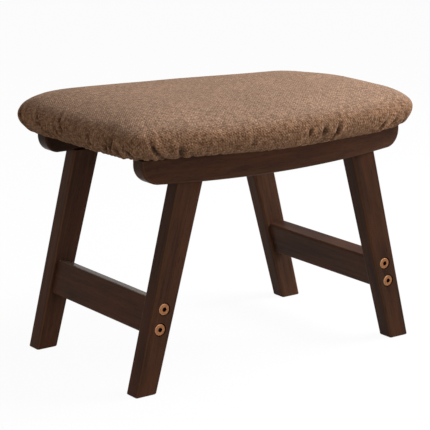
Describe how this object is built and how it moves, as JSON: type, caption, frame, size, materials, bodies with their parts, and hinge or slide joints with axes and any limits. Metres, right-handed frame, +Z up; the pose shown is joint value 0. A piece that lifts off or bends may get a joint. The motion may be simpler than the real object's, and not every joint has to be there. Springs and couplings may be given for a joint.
{
  "type": "upholstered footstool",
  "caption": "Low wooden footstool with splayed tapered legs, bowed aprons, bolted side stretchers and a padded woven fabric seat.",
  "frame": {"origin": "on the floor, under the middle of the seat", "axes": "+X along the seat's length, -Y towards the front, +Z up"},
  "size_m": [0.42, 0.286, 0.311],
  "materials": {
    "stained_wood": "dark walnut stain, satin lacquer",
    "plain_wood": "bare beech",
    "plywood": "bare plywood",
    "foam": "open cell foam",
    "woven_fabric": "heathered brown linen weave",
    "felted_sheet": "non-woven sheet",
    "copper_plate": "antique copper plate",
    "zinc_steel": "zinc plated"
  },
  "bodies": {
    "root": {"front_apron": "stained_wood", "rear_apron": "stained_wood", "leg_front_left": "stained_wood", "leg_front_right": "stained_wood", "leg_rear_left": "stained_wood", "leg_rear_right": "stained_wood", "left_stretcher": "stained_wood", "right_stretcher": "stained_wood", "leg_dowels": "plain_wood", "seat_board": "plywood", "foam_pad": "foam", "seat_cover": "woven_fabric", "dust_cover": "felted_sheet", "stretcher_bolts": "copper_plate", "threaded_inserts": "zinc_steel", "cover_staples": "zinc_steel", "seat_screws": "zinc_steel"}
  },
  "joints": []
}
